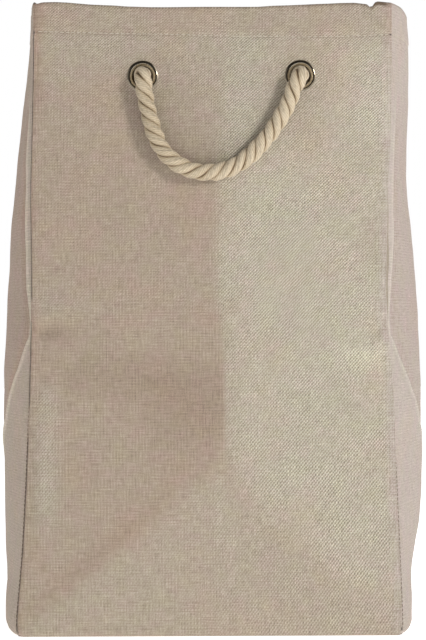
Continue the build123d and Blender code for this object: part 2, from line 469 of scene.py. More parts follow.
# the middle crease of each gusset
G_KEYS = [0.0, 0.03, 0.064, 0.096, 0.128, 0.158, 0.188, 0.219, 0.249, 0.279, 0.310, 0.340, 0.370, 0.400, 0.431, 0.461, 0.491, 0.521, 0.542, 0.562, 0.582, 0.60]
apex_left = smooth_table(
    G_KEYS,
    [-0.2052, -0.2066, -0.2084, -0.2100, -0.2095, -0.2096, -0.2110, -0.2107, -0.2100, -0.2086, -0.2068, -0.2048, -0.2036, -0.2018,
     -0.1982, -0.1948, -0.1918, -0.1882, -0.1846, -0.1815, -0.1800, -0.1800],
)
apex_right = smooth_table(
    G_KEYS,
    [0.1932, 0.1952, 0.1996, 0.2060, 0.2088, 0.2095, 0.2085, 0.2088, 0.2078, 0.2070, 0.2055, 0.2035, 0.2014, 0.1985,
     0.1938, 0.1948, 0.1962, 0.1970, 0.1978, 0.1966, 0.1943, 0.1925],
)
# how far the middle fold of each big panel stands proud
centre_fold = smooth_table(
    [0.0, 0.165, 0.25, 0.33, 0.38, 0.43, 0.47, 0.52, 0.56, 0.60],
    [0.0112, 0.0112, 0.0106, 0.0092, 0.0078, 0.0054, 0.0040, 0.0020, 0.0006, 0.0002],
)
FOLD_FOOT = 0.165                      # where the middle fold splits in two
rim_dip_x = [-0.171, -0.165, -0.160, -0.148, -0.137, -0.126, -0.114, -0.092, -0.080, -0.058, 0.044, 0.056, 0.085, 0.110, 0.122, 0.135, 0.147, 0.1485, 0.1502, 0.1525, 0.1545, 0.156, 0.170]
rim_dip_z = [0.6005, 0.5990, 0.6003, 0.6005, 0.6000, 0.5990, 0.5980, 0.5970, 0.5960, 0.5952, 0.5952, 0.5960, 0.5968, 0.5978, 0.5985, 0.5987, 0.5972, 0.5952, 0.5945, 0.5956, 0.5990, 0.5998, 0.5985]
hem_x = [-0.171, -0.150, -0.069, 0.010, 0.081, 0.139, 0.170]
hem_z = [0.5732, 0.5725, 0.5703, 0.5682, 0.5666, 0.5677, 0.5690]
ripple_a = noise2(11, 0.11, 0.17)
ripple_b = noise2(12, 0.045, 0.06)
ripple_c = noise2(13, 0.13, 0.11)
BOTTOM_R = 0.007


def rim_height(x, back=False):
    if back:
        x = -x * 0.97
        return np.interp(x, rim_dip_x[:17] + [0.17], rim_dip_z[:17] + [0.5985]) * 0.6 + 0.5975 * 0.4
    return np.interp(x, rim_dip_x, rim_dip_z)


def hem_height(x, back=False):
    return np.interp(-x if back else x, hem_x, hem_z)


def soft_min(a, b, k):
    return (a + b - np.sqrt((a - b) ** 2 + k * k)) / 2


def fold_axis(s, back):
    """-1 at the left seam, 0 on the middle fold line, 1 at the right seam."""
    c = 0.48 if back else 0.525
    return np.where(s < c, (s - c) / c, (s - c) / (1 - c))


def roof(u, z):
    """The folded shape of a big panel: one fold down the middle, which splits
    into two that run out to the bottom corners. 0 at the edges, 1 on the fold."""
    a = 1 - (np.sqrt(u * u + 0.022 ** 2) - 0.022)
    return soft_min(a, np.maximum(z, 0) / FOLD_FOOT, 0.035)


def panel_painted_light(s, x, z, back=False):
    """Painted light and shade on a big panel, from -1 to 1: each facet of a fold is lighter or darker as if lit from
    the right."""
    u = fold_axis(s if back else s - 0.011 * (1 - smoothstep(z, 0.27, 0.34)) * smoothstep(z, 0.12, 0.17), back)
    soft = np.interp(z, [0.16, 0.24, 0.40, 0.50], [0.024, 0.024, 0.040, 0.070])
    side = u / np.sqrt(u * u + soft ** 2)
    upper = 1 / (1 + np.exp(-(np.maximum(z, 0) / FOLD_FOOT - (1 - np.abs(u))) / 0.035))
    left = np.interp(z, [0.0, 0.03, 0.06, 0.14, 0.30, 0.32, 0.36, 0.40, 0.46, 0.52, 0.56], [0.0, 0.3, 0.6, 0.75, 0.78, 0.62, 0.72, 0.85, 0.82, 0.4, 0.0])
    right = np.interp(z, [0.0, 0.03, 0.06, 0.14, 0.36, 0.42, 0.47, 0.53, 0.57, 0.60], [0.2, 0.5, 0.8, 0.95, 1.0, 0.9, 0.62, 0.32, 0.12, 0.05])
    t = side * (upper * np.where(u < 0, left, right) + 0.10 * (1 - upper))
    if back:
        return -0.55 * t
    # painted light towards the right of the mouth, painted shade in the pinches and creases, painted highlights along
    # ridges and the middle fold, and a painted shadow beside the rope's right leg
    mouth = smoothstep(z, 0.45, 0.50) * (1 - smoothstep(z, 0.54, 0.58))
    t = t + 0.7 * smoothstep(x, 0.085, 0.160) * mouth
    t = t - 0.95 * bump(x, -0.020, 0.050) * bump(z, 0.213, 0.042) * (side < 0) * upper
    t = t - 0.80 * bump(x, -0.085, 0.085) * bump(z, 0.246, 0.022) * (side < 0)
    t = t - 1.05 * bump(x, -0.154, 0.022) * bump(z, 0.290, 0.0085)
    t = t + 0.45 * bump(x, -0.150, 0.035) * bump(z, 0.316, 0.012)
    t = t - 0.45 * bump(x, 0.158, 0.010) * bump(z, 0.288, 0.0060)
    t = t + 0.65 * bump(x, 0.142, 0.024) * bump(z, 0.268, 0.012)
    t = t - 0.62 * bump(x, 0.148, 0.015) * bump(z, 0.372, 0.030)
    t = t - 0.45 * bump(x, 0.084, 0.014) * bump(z, 0.482, 0.022)
    over = np.maximum(z, 0) / FOLD_FOOT - (1 - np.abs(u))
    t = t - 0.75 * bump(over, 0.08, 0.09) * smoothstep(-u, 0.12, 0.55)
    t = t + 1.15 * bump(x, -0.158, 0.012) * smoothstep(z, 0.08, 0.14) * (1 - smoothstep(z, 0.22, 0.26))
    t = t - 0.95 * bump(x, -0.166, 0.007) * smoothstep(z, 0.47, 0.52)
    t = t + 0.45 * bump(x, 0.036, 0.030) * smoothstep(z, 0.44, 0.49) * (1 - smoothstep(z, 0.560, 0.575))
    t = t - 0.45 * smoothstep(z, 0.566, 0.574) * (1 - 0.6 * smoothstep(x, 0.09, 0.15))
    t = t - 0.42 * bump(x, 0.017, 0.017) * smoothstep(z, 0.12, 0.17) * (1 - smoothstep(z, 0.30, 0.34))
    t = t + 0.35 * bump(x, 0.004, 0.0035) * smoothstep(z, 0.075, 0.10) * (1 - smoothstep(z, 0.150, 0.165))
    return t


def panel_point(s, z, back=False):
    """Outer surface of the front (or back) panel. s is 0 at its left seam."""
    zc = np.clip(z, 0, 0.62)
    if back:
        xl, xr = -PIVOT_X + 0 * zc, PIVOT_X + 0 * zc
    else:
        xl, xr = seam_left(zc), seam_right(zc)
    x = xl + (xr - xl) * s
    width = xr - xl
    edge = np.minimum(s, 1 - s) * width
    near_eyelet = 0
    for ex in FRONT_EYELETS:
        cx = -ex if back else ex
        near_eyelet = np.maximum(near_eyelet, bump(np.hypot(x - cx, z - EYELET_Z), 0, 0.030))
    out = centre_fold(zc) * roof(fold_axis(s, back), z)
    free = (1 - np.exp(-edge / 0.02)) * (1 - near_eyelet)
    seed = 0.37 if back else 0.0
    out = out + free * (0.0008 * ripple_a(x + seed, z) + 0.00022 * ripple_b(x + seed, z))
    # the hem is doubled cloth, with a stitch line pulled in under it
    hz = hem_height(x, back)
    out = out + 0.0005 * smoothstep(z, hz - 0.0008, hz + 0.0018) - 0.00055 * bump(z, hz, 0.0013)
    # soft pulls where the rope's weight hangs from the eyelets
    for ex in FRONT_EYELETS:
        cx = -ex if back else ex
        out = out - 0.0006 * bump(np.hypot(x - cx, z - EYELET_Z), 0.021, 0.006)
    # the seam dips in between the two cloths
    dip = 0.0016 - (s > 0.5) * (0 if back else 1) * (0.0007 + 0.0004 * smoothstep(z, 0.15, 0.22))
    out = out - dip * np.exp(-edge / 0.0028)
    # side creases that start near the seams
    if not back:
        # pinches at both sides, where the gussets fold in
        clear = smoothstep(edge, 0.002, 0.012)
        out = out - 0.0034 * bump(x, -0.160, 0.020) * bump(z, 0.290, 0.0070) * clear
        out = out + 0.0014 * bump(x, -0.150, 0.026) * bump(z, 0.306, 0.0110)
        out = out - 0.0034 * bump(x, 0.158, 0.015) * bump(z, 0.288, 0.0065) * clear
        out = out + 0.0020 * bump(x, 0.146, 0.022) * bump(z, 0.268, 0.0110)
        out = out - 0.0012 * bump(x, 0.148, 0.012) * bump(z, 0.365, 0.030)
        out = out + 0.0016 * bump(x, -0.160, 0.010) * smoothstep(z, 0.07, 0.14) * (1 - smoothstep(z, 0.20, 0.26))
    # rolled foot
    foot = np.clip(BOTTOM_R - z, 0, BOTTOM_R)
    inset = BOTTOM_R - np.sqrt(np.maximum(BOTTOM_R ** 2 - foot ** 2, 0))
    out = out * smoothstep(z, -0.002, 0.02) - inset
    x = x - np.sign(s - 0.5) * inset * np.exp(-edge / 0.012)
    y = -(HALF_DEPTH + out)
    return x, (-y if back else y), z + 0 * x


def gusset_fold(z):
    """Where the diagonal fold of a gusset runs: close to the front seam higher
    up, and out to the middle crease lower down."""
    return np.interp(z, [0.15, 0.177, 0.224, 0.252, 0.285, 0.300, 0.330, 0.380, 0.45], [0.50, 0.45, 0.27, 0.13, 0.014, 0.012, 0.040, 0.060, 0.064])


def gusset_point(side, t, z):
    """Outer surface of a gusset. t is 0 at the front seam and 1 at the back."""
    zc = np.clip(z, 0, 0.62)
    if side < 0:
        xs, xa = seam_left(zc), apex_left(zc)
    else:
        xs, xa = seam_right(zc), apex_right(zc)
    xs, xa = np.abs(xs), np.abs(xa)
    q = np.sqrt((2 * t - 1) ** 2 + 0.10 ** 2) - 0.10
    q = q / (math.sqrt(1.01) - 0.10)
    front = t < 0.5
    xe = np.where(front, xs, PIVOT_X)
    power = np.where(front, 1.35, 1.6)
    # near the mouth the side rounds out sooner
    power = power + 1.2 * smoothstep(zc, 0.53, 0.60) * (side > 0)
    power = power + (1.3 if side < 0 else 1.9) * (1 - smoothstep(zc, 0.0, 0.06)) * front
    x = xa - (xa - xe) * np.abs(q) ** power
    y = -HALF_DEPTH + 2 * HALF_DEPTH * t
    edge = np.minimum(t, 1 - t) * 2 * HALF_DEPTH
    free = 1 - np.exp(-edge / 0.02)
    seed = 0.9 if side > 0 else 0.5
    x = x + free * (0.0010 * ripple_c(y + seed, z) * np.abs(2 * t - 1) + 0.0003 * ripple_b(y + seed, z))
    # diagonal crease from the front seam down to the middle
    tc = gusset_fold(z)
    live = smoothstep(z, 0.13, 0.19) * (1 - smoothstep(z, 0.47, 0.53))
    x = x + 0.0014 * bump(t - tc, 0, 0.016) * live * smoothstep(tc, 0.008, 0.04)
    x = x - (0.0034 if side < 0 else 0.0024) * bump(t - tc - 0.042, 0, 0.026) * live
    # seams dip in
    dip = (0.0016 - (0.0007 + 0.0004 * smoothstep(z, 0.15, 0.22)) * front * (side > 0)) * np.exp(-edge / 0.0028)
    x = x - dip
    y = np.where(front, y + dip, y - dip)
    hz = 0.569 + 0.0 * t
    x = x + 0.0005 * smoothstep(z, hz - 0.0008, hz + 0.0018) - 0.00055 * bump(z, hz, 0.0013)
    foot = np.clip(BOTTOM_R - z, 0, BOTTOM_R)
    inset = BOTTOM_R - np.sqrt(np.maximum(BOTTOM_R ** 2 - foot ** 2, 0))
    x = x - inset
    y = y + np.where(front, 1, -1) * inset * np.exp(-edge / 0.012)
    return side * x, y, z + 0 * x


def z_rows(fine, top_rows=True):
    """Heights of the mesh rows, closer together at the foot, hem and rim."""
    foot = list(np.array([0.0003, 0.0011, 0.0022, 0.0036, 0.0052, 0.0070, 0.0090, 0.0120]))
    body = list(np.arange(0.0150, 0.5615, fine))
    hem = list(np.arange(0.5620, 0.5765, 0.0009))
    rest = list(np.arange(0.5785, 0.5930, 0.0025))
    return np.array(foot + body + hem + rest)


def sheet_grid(px, py, pz, thickness, normal_sign, close_sides=True):
    """Two layers of cloth from a grid of outer points: returns the outer points, the inner points and the normals. Rows
    run up the cloth."""
    rows, cols = px.shape
    p = np.stack([px, py, pz], -1)
    du = np.gradient(p, axis=1)
    dv = np.gradient(p, axis=0)
    n = np.cross(du, dv)
    n /= np.linalg.norm(n, axis=-1, keepdims=True) + 1e-12
    n *= normal_sign
    inner = p - n * thickness[..., None]
    return p, inner, n


def cloth_piece(name, p, inner, n, cloth_uv, painted_shade, material, cut=None, flip=False, rim=True, tone=None, kind=0.0):
    """Closed two-layer mesh from an outer and an inner grid of points."""
    rows, cols, _ = p.shape
    verts, uv, painted_shade_values, painted_light_values, nor = [], [], [], [], []
    if tone is None:
        tone = np.zeros(painted_shade.shape)
    cloth_uv = np.concatenate([cloth_uv, np.broadcast_to(kind, painted_shade.shape)[..., None]], -1)

    def add(points, coords, w, t, normals):
        start = len(verts)
        verts.extend(points.reshape(-1, 3))
        uv.extend(coords.reshape(-1, 3))
        painted_shade_values.extend(w.ravel())
        painted_light_values.extend(t.ravel())
        nor.extend(normals.reshape(-1, 3))
        return np.arange(start, len(verts)).reshape(points.shape[:-1])

    outer = add(p, cloth_uv, painted_shade, tone, n)
    back = add(inner, cloth_uv, painted_shade, 0 * tone, -n)
    keep = np.ones((rows - 1, cols - 1), bool)
    if cut is not None:
        keep = ~cut
    faces = []
    for i in range(rows - 1):
        for j in range(cols - 1):
            if keep[i, j]:
                a, b, c, d = outer[i, j], outer[i, j + 1], outer[i + 1, j + 1], outer[i + 1, j]
                faces.append((a, b, c, d) if not flip else (d, c, b, a))
                a, b, c, d = back[i, j], back[i, j + 1], back[i + 1, j + 1], back[i + 1, j]
                faces.append((d, c, b, a) if not flip else (a, b, c, d))
    smooth_count = len(faces)
    # rim: one extra row in between, lifted to round the fold
    if rim:
        up = p[-1] - p[-2]
        up /= np.linalg.norm(up, axis=-1, keepdims=True) + 1e-12
        thick = np.linalg.norm(p[-1] - inner[-1], axis=-1, keepdims=True)
        rounds = []
        for ang in (math.radians(45), math.radians(90), math.radians(135)):
            mid = (p[-1] + inner[-1]) / 2 + n[-1] * thick / 2 * math.cos(ang) + up * thick / 2 * math.sin(ang)
            nn = n[-1] * math.cos(ang) + up * math.sin(ang)
            rounds.append(add(mid[None], cloth_uv[-1][None], painted_shade[-1][None], tone[-1][None], nn[None])[0])
        chain = [outer[-1], *rounds, back[-1]]
        for lo, hi in zip(chain, chain[1:]):
            for j in range(cols - 1):
                q = (lo[j], lo[j + 1], hi[j + 1], hi[j])
                faces.append(q if not flip else q[::-1])
    else:
        for j in range(cols - 1):
            q = (outer[-1, j], outer[-1, j + 1], back[-1, j + 1], back[-1, j])
            faces.append(q if not flip else q[::-1])
    # other borders
    for j in range(cols - 1):
        q = (back[0, j], back[0, j + 1], outer[0, j + 1], outer[0, j])
        faces.append(q if not flip else q[::-1])
    for i in range(rows - 1):
        q = (outer[i, 0], outer[i + 1, 0], back[i + 1, 0], back[i, 0])
        faces.append(q if not flip else q[::-1])
        q = (outer[i + 1, -1], outer[i, -1], back[i, -1], back[i + 1, -1])
        faces.append(q if not flip else q[::-1])
    if rim:
        ends0 = [outer[-1, 0], *[r[0] for r in rounds], back[-1, 0]]
        ends1 = [outer[-1, -1], *[r[-1] for r in rounds], back[-1, -1]]
        faces.append(tuple(ends0) if not flip else tuple(ends0[::-1]))
        faces.append(tuple(ends1[::-1]) if not flip else tuple(ends1))
    if cut is not None:
        for i in range(rows - 1):
            for j in range(cols - 1):
                if keep[i, j]:
                    continue
                for (di, dj), (a, b) in {
                    (-1, 0): ((i, j), (i, j + 1)),
                    (1, 0): ((i + 1, j + 1), (i + 1, j)),
                    (0, -1): ((i + 1, j), (i, j)),
                    (0, 1): ((i, j + 1), (i + 1, j + 1)),
                }.items():
                    if keep[i + di, j + dj]:
                        q = (outer[a], outer[b], back[b], back[a])
                        faces.append(tuple(int(x) for x in (q if not flip else q[::-1])))
    faces = [tuple(int(x) for x in f) for f in faces]
    # both shading attributes are painted: tone is painted light and shade, the other one painted shade along seams,
    # rims and edges
    obj = add_mesh(
        name,
        verts,
        faces,
        material,
        {"cloth": np.array(uv), "painted_shade": np.array(painted_shade_values), "tone": np.array(painted_light_values)},
    )
    mesh = obj.data
    nor = np.array(nor)
    loops = np.zeros(len(mesh.loops), np.int64)
    mesh.loops.foreach_get("vertex_index", loops)
    mesh.normals_split_custom_set([tuple(x) for x in nor[loops]])
    # drop points left loose inside the cut holes
    if cut is not None:
        used = np.zeros(len(mesh.vertices), bool)
        used[loops] = True
        if not used.all():
            import bmesh

            bm = bmesh.new()
            bm.from_mesh(mesh)
            bmesh.ops.delete(bm, geom=[v for v in bm.verts if not v.link_faces], context="VERTS")
            bm.to_mesh(mesh)
            bm.free()
    return obj


def edge_painted_shade(x_edge, z, rim_z, strength=1.0):
    """Painted shade near seams (x_edge in metres from the seam), along the rim and at the foot."""
    w = 0.24 * strength * np.exp(-(x_edge / 0.0012) ** 2)
    w = np.maximum(w, 0.10 * strength * np.exp(-x_edge / 0.005))
    w = np.maximum(w, 0.75 * np.exp(-np.maximum(rim_z - z, 0) / 0.0012))
    w = np.maximum(w, 0.30 * np.exp(-np.maximum(z, 0) / 0.0030))
    return np.clip(w, 0, 1)


# ---------------------------------------------------------- front, back panels
FINE = 0.0030


def big_panel(name, body, back=False):
    cols = 131
    # more columns next to the seams
    s = np.linspace(0, 1, cols)
    s = s + 0.0
    near = np.array([0.0, 0.0022, 0.0050, 0.0085, 0.0125, 0.0175])
    s = np.concatenate([near, s[(s > 0.021) & (s < 0.979)], 1 - near[::-1]])
    z = z_rows(FINE)
    extra = 4
    S, Zr = np.meshgrid(s, np.concatenate([z, np.zeros(extra)]))
    x0, _, _ = panel_point(S, np.full_like(S, 0.59), back)
    top = rim_height(x0[-1], back)
    for k in range(extra):
        f = (k + 1) / extra
        Zr[len(z) + k] = 0.5930 + (top - 0.0009 - 0.5930) * f
    px, py, pz = panel_point(S, Zr, back)
    # keep the eyelet seats flat and cut a round hole under each flange
    centres = [(-e if back else e) for e in FRONT_EYELETS]
    cx = (px[:-1, :-1] + px[1:, 1:]) / 2
    cz = (pz[:-1, :-1] + pz[1:, 1:]) / 2
    cut = np.zeros(cx.shape, bool)
    R = 0.0126
    for c in centres:
        cut |= np.hypot(cx - c, cz - EYELET_Z) < R
    # border points of each hole go on to its circle
    touch = np.zeros(px.shape, bool)
    solid = np.zeros(px.shape, bool)
    for di in (0, 1):
        for dj in (0, 1):
            touch[di : di + cut.shape[0], dj : dj + cut.shape[1]] |= cut
            solid[di : di + cut.shape[0], dj : dj + cut.shape[1]] |= ~cut
    border = touch & solid
    for c in centres:
        r = np.hypot(px - c, pz - EYELET_Z)
        sel = border & (r < 0.02)
        k = 0.0128 / r[sel]
        nx = c + (px[sel] - c) * k
        nz = EYELET_Z + (pz[sel] - EYELET_Z) * k
        px[sel], pz[sel] = nx, nz
    edge = np.minimum(S, 1 - S) * 0.345
    hz = hem_height(px, back)
    thick = CLOTH + 0.0009 * smoothstep(pz, hz - 0.001, hz + 0.001)
    p, inner, n = sheet_grid(px, py, pz, thick, -1 if back else 1)
    uv = np.stack([px if not back else -px + 0.7, pz], -1)
    strength = np.where((S < 0.5) | back, np.interp(pz, [0.25, 0.36], [1.0, 0.45]), np.interp(pz, [0.0, 0.025, 0.04, 0.13, 0.20], [0.1, 0.1, 0.6, 0.5, 0.06]))
    painted_shade = edge_painted_shade(edge, pz, top[None, :] + 0 * pz, strength)
    # painted shade along the hem's stitch line
    painted_shade = np.maximum(painted_shade, 0.17 * bump(pz, hz, 0.0012))
    if not back:
        # painted shade: a dark band along the rim on the right where its rolled edge is in shadow, and a dark patch
        # right of the notch where the inside of the rim is in shade
        painted_shade = np.maximum(painted_shade, 0.62 * smoothstep(px, 0.03, 0.10) * np.exp(-(np.maximum(top[None, :] - pz, 0) / 0.0021) ** 2))
        painted_shade = np.maximum(painted_shade, 0.90 * smoothstep(px, 0.1505, 0.1525) * (1 - smoothstep(px, 0.163, 0.170)) * (1 - smoothstep(top[None, :] - pz, 0.0028, 0.0040)))
    # tone here is painted light and shade
    tone = panel_painted_light(S, px, pz, back)
    kind = (0.8 * np.exp(-((1 - S) * 0.345 / 0.0085) ** 2) - 0.5 * np.exp(-(S * 0.345 / 0.006) ** 2)) * (0 if back else 1)
    obj = cloth_piece(name, p, inner, n, uv, painted_shade, CLOTH_MAT, cut=cut, flip=back, tone=tone, kind=kind)
    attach(obj, body)
    return obj, (p, inner, n)


front_cloth, front_grid = big_panel("front_cloth", "front")
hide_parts("front_panel")
back_cloth, back_grid = big_panel("back_cloth", "back", back=True)
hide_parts("back_panel")


# ------------------------------------------------------------------- gussets
def rim_of_gusset(side, t):
    """Rim height of a gusset, which sags a little between its seams."""
    front = 0.5985 if side > 0 else 0.6003
    return front + (0.5975 - front) * t - 0.0035 * np.sin(math.pi * t) ** 2


def gusset_painted_light(side, t, z):
    # painted light and shade on a gusset: the right one lighter than the left, a lighter strip in front of the diagonal
    # fold, a painted highlight along its ridge and painted shade behind it
    tc = gusset_fold(z)
    live = smoothstep(z, 0.13, 0.19) * (1 - smoothstep(z, 0.47, 0.53))
    past = smoothstep(t, tc, tc + 0.012)
    if side < 0:
        low = 1 - smoothstep(z, 0.20, 0.29)
        tone = 0.1 + 0.25 * low - 0.3 * smoothstep(z, 0.45, 0.52)
        tone = tone + live * (0.55 * (1 - past) * (1 - low) - 1.15 * past)
        tone = tone + 2.3 * bump(t - tc, 0, 0.021 + 0.012 * (1 - smoothstep(z, 0.17, 0.27))) * live
    else:
        tone = 0.42 + 0.10 * (1 - smoothstep(z, 0.2, 0.3)) + 0 * t
        tone = tone + live * (0.25 * (1 - past) - 0.45 * past)
        tone = tone + 1.1 * bump(t - tc, 0, 0.017 + 0.012 * (1 - smoothstep(z, 0.17, 0.27))) * live
    # the rear half turns back towards the light of its own side
    return np.where(t < 0.5, tone, tone * (1 - smoothstep(t, 0.5, 0.75) * 0.7))


def gusset(side, names, bodies):
    step = FINE * 1.05
    ts = np.concatenate(
        [
            np.array([0.0, 0.004, 0.009, 0.015, 0.022, 0.031]),
            np.arange(0.041, 0.9595, step / 0.30),
            1 - np.array([0.031, 0.022, 0.015, 0.009, 0.004, 0.0]),
        ]
    )
    # border columns of the three strips
    b1, b2 = 0.345, 0.655
    ts = np.unique(np.concatenate([ts, [b1, b2]]))
    z = z_rows(FINE * 1.1)
    z[0], z[1] = 0.0014, 0.0018                # clear of the bottom's middle sheet
    extra = 4
    T, Zr = np.meshgrid(ts, np.concatenate([z, np.zeros(extra)]))
    top = rim_of_gusset(side, ts)
    for k in range(extra):
        f = (k + 1) / extra
        Zr[len(z) + k] = 0.5930 + (top - 0.0009 - 0.5930) * f
    px, py, pz = gusset_point(side, T, Zr)
    # the front edge follows the panel's seam exactly
    sx, sy, _ = panel_point(np.full_like(Zr[:, 0], 0.0 if side < 0 else 1.0), Zr[:, 0])
    px[:, 0], py[:, 0] = sx, sy
    bx, by, _ = panel_point(np.full_like(Zr[:, 0], 0.0 if side < 0 else 1.0), Zr[:, -1], True)
    px[:, -1], py[:, -1] = bx, by
    edge = np.minimum(T, 1 - T) * 0.30
    # tone here is painted light and shade
    tone = gusset_painted_light(side, T, pz)
    strength = np.where((T > 0.5) | (side < 0), np.interp(pz, [0.25, 0.36], [1.0, 0.45]), np.interp(pz, [0.0, 0.025, 0.04, 0.13, 0.20], [0.1, 0.1, 0.6, 0.5, 0.06]))
    thick = CLOTH + 0.0009 * smoothstep(pz, 0.568, 0.570)
    p, inner, n = sheet_grid(px, py, pz, thick, -1 if side < 0 else 1)
    uv = np.stack([py + (1.5 if side > 0 else -1.5), pz], -1)
    painted_shade = edge_painted_shade(edge, pz, top[None, :] + 0 * pz, strength)
    # painted shade along the hem's stitch line
    painted_shade = np.maximum(painted_shade, 0.13 * bump(pz, 0.569, 0.0011))
    i1, i2 = int(np.argmin(abs(ts - b1))), int(np.argmin(abs(ts - b2)))
    cuts = [(0, i1), (i1, i2), (i2, len(ts) - 1)]
    made = []
    for name, (a, b) in zip(names, cuts):
        sl = np.s_[:, a : b + 1]
        obj = cloth_piece(name, p[sl], inner[sl], n[sl], uv[sl], painted_shade[sl], CLOTH_MAT, flip=side < 0, tone=tone[sl], kind=side)
        made.append(obj)
    front_body, rear_body = bodies
    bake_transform(made[0])
    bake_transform(made[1])
    if side < 0:
        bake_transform(made[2])
    else:
        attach(made[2], rear_body)
    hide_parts(f"{'left' if side < 0 else 'right'}_gusset_front_half")
    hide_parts(f"{'left' if side < 0 else 'right'}_gusset_rear_half")
    return made, (p, inner, n, ts)


left_parts, left_grid = gusset(-1, ["left_gusset_cloth_front", "left_gusset_cloth_crease", "left_gusset_cloth_rear"], ("left_front", "left_rear"))
right_parts, right_grid = gusset(1, ["right_gusset_cloth_front", "right_gusset_cloth_crease", "right_gusset_cloth_rear"], ("right_front", "right_rear"))


# ---------------------------------------------------------------------- base
def make_base():
    """The bottom: a middle sheet that lies on the floor, and a long slim flap at each end beside the side piece it is
    sewn to."""

    def outline(t, z):
        y = -HALF_DEPTH + 0.0050 + (2 * HALF_DEPTH - 0.0100) * t
        s = np.linspace(0, 1, 321)
        lx, ly, _ = gusset_point(-1, s, np.full_like(s, z))
        rx, ry, _ = gusset_point(1, s, np.full_like(s, z))
        lx = np.interp(y, np.maximum.accumulate(ly), lx)
        rx = np.interp(y, np.maximum.accumulate(ry), rx)
        return lx, rx, y, np.maximum(PIVOT_Y - np.abs(y), 0)

    def piece(name, t, y, xl, xr, cols, top, under, wavy):
        T, S = np.meshgrid(t, np.linspace(0, 1, cols), indexing="ij")
        X = xl[:, None] + (xr - xl)[:, None] * S
        Y = y[:, None] + 0 * S
        wave = noise2(31, 0.12, 0.10)(X, Y)
        free = np.clip(np.minimum(np.minimum(S, 1 - S), np.minimum(T, 1 - T)) * 8, 0, 1)
        pts = np.stack([X, Y, top + wavy * free * (wave + 1)], -1)
        n = np.zeros_like(pts)
        n[..., 2] = 1
        inner = pts.copy()
        inner[..., 2] = under
        uv = np.stack([X + 3.0, Y], -1)
        # painted shade towards the edges of the bottom pieces
        obj = cloth_piece(name, pts, inner, n, uv, 0.25 * (1 - free) ** 2, CLOTH_MAT, rim=False)
        return obj

    t = np.linspace(0, 1, 81)
    lx, rx, y, corner = outline(t, 0.0009)
    half = 0.166 + 0.008 * (1 - smoothstep(corner, 0.030, 0.065)) + 0.020 * (1 - smoothstep(corner, np.where(y > 0, 0.022, 0.010), np.where(y > 0, 0.034, 0.018)))
    # the two rear corners reach a little way in under the side's lower edge
    under = np.where(y > 0, 0.0005 + 0.0024 * (1 - smoothstep(corner, 0.003, 0.012)), -0.0005)
    left = -np.minimum(half, -lx + under)
    right = np.minimum(half, rx + under)
    middle = piece("base_cloth", t, y, left, right, 69, 0.0009, 0.0002, 0.0001)
    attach(middle, "front")
    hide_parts("base_panel")
    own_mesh(middle)
    t = np.linspace(0.030, 0.92, 61)
    lx, rx, y, corner = outline(t, 0.0014)
    for side, edge, bodies in (("left", lx, ("left_front", "left_rear")), ("right", rx, ("right_front", "right_rear"))):
        sign = -1 if side == "left" else 1
        outer = edge - sign * 0.0005
        # narrower towards the corners
        inward = sign * np.minimum(np.maximum(0.1625, 0.1735 - corner / 4.5), np.abs(outer) - 0.003)
        xl, xr = (outer, inward) if sign < 0 else (inward, outer)
        flap = piece(f"base_{side}_fold_cloth", t, y, xl, xr, 9, 0.0016, 0.0012, 0.0002)
        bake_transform(flap)
    return middle


base_cloth = make_base()


# ------------------------------------------------------------------ stitches
def stitch_mesh(name, centres, directions, normals, length, radius, material, body):
    """Short rounded stitches, each bowed into the cloth at both ends."""
    verts, faces = [], []
    ring, seg = 6, 6
    for c, d, n in zip(centres, directions, normals):
        d = d / np.linalg.norm(d)
        n = n - d * (n @ d)
        n = n / np.linalg.norm(n)
        b = np.cross(d, n)
        start = len(verts)
        for i in range(seg + 1):
            f = i / seg
            along = (f - 0.5) * length
            lift = radius * (0.55 * math.sin(math.pi * f) - 0.25)
            r = radius * (0.35 + 0.65 * math.sin(math.pi * min(max(f, 0.06), 0.94)) ** 0.5)
            for k in range(ring):
                a = 2 * math.pi * k / ring
                verts.append(c + d * along + n * (lift + r * math.cos(a) * 0.8) + b * r * math.sin(a))
        for i in range(seg):
            for k in range(ring):
                k2 = (k + 1) % ring
                faces.append((start + i * ring + k, start + i * ring + k2, start + (i + 1) * ring + k2, start + (i + 1) * ring + k))
        faces.append(tuple(start + k for k in reversed(range(ring))))
        faces.append(tuple(start + seg * ring + k for k in range(ring)))
    obj = add_mesh(name, verts, faces, material)
    if body:
        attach(obj, body)
    return obj


def along_curve(points, pitch):
    seg = np.linalg.norm(np.diff(points, axis=0), axis=1)
    s = np.r_[0, np.cumsum(seg)]
    at = np.arange(pitch / 2, s[-1], pitch)
    pos = np.stack([np.interp(at, s, points[:, k]) for k in range(3)], -1)
    nxt = np.stack([np.interp(np.minimum(at + 0.0005, s[-1]), s, points[:, k]) for k in range(3)], -1)
    prv = np.stack([np.interp(np.maximum(at - 0.0005, 0), s, points[:, k]) for k in range(3)], -1)
    return pos, nxt - prv


def hem_stitches(back=False):
    s = np.linspace(0.012, 0.988, 400)
    x, _, _ = panel_point(s, np.full_like(s, 0.57), back)
    z = hem_height(x, back)
    x, y, z = panel_point(s, z, back)
    pts = np.stack([x, y, z], -1)
    pos, d = along_curve(pts, 0.0052)
    nrm = np.tile([0, 1.0 if back else -1.0, 0], (len(pos), 1))
    return stitch_mesh(
        "back_hem_stitches" if back else "front_hem_stitches", pos, d, nrm, 0.0036, 0.00052, THREAD_MAT, "back" if back else "front"
    )


hem_stitches()
hem_stitches(True)


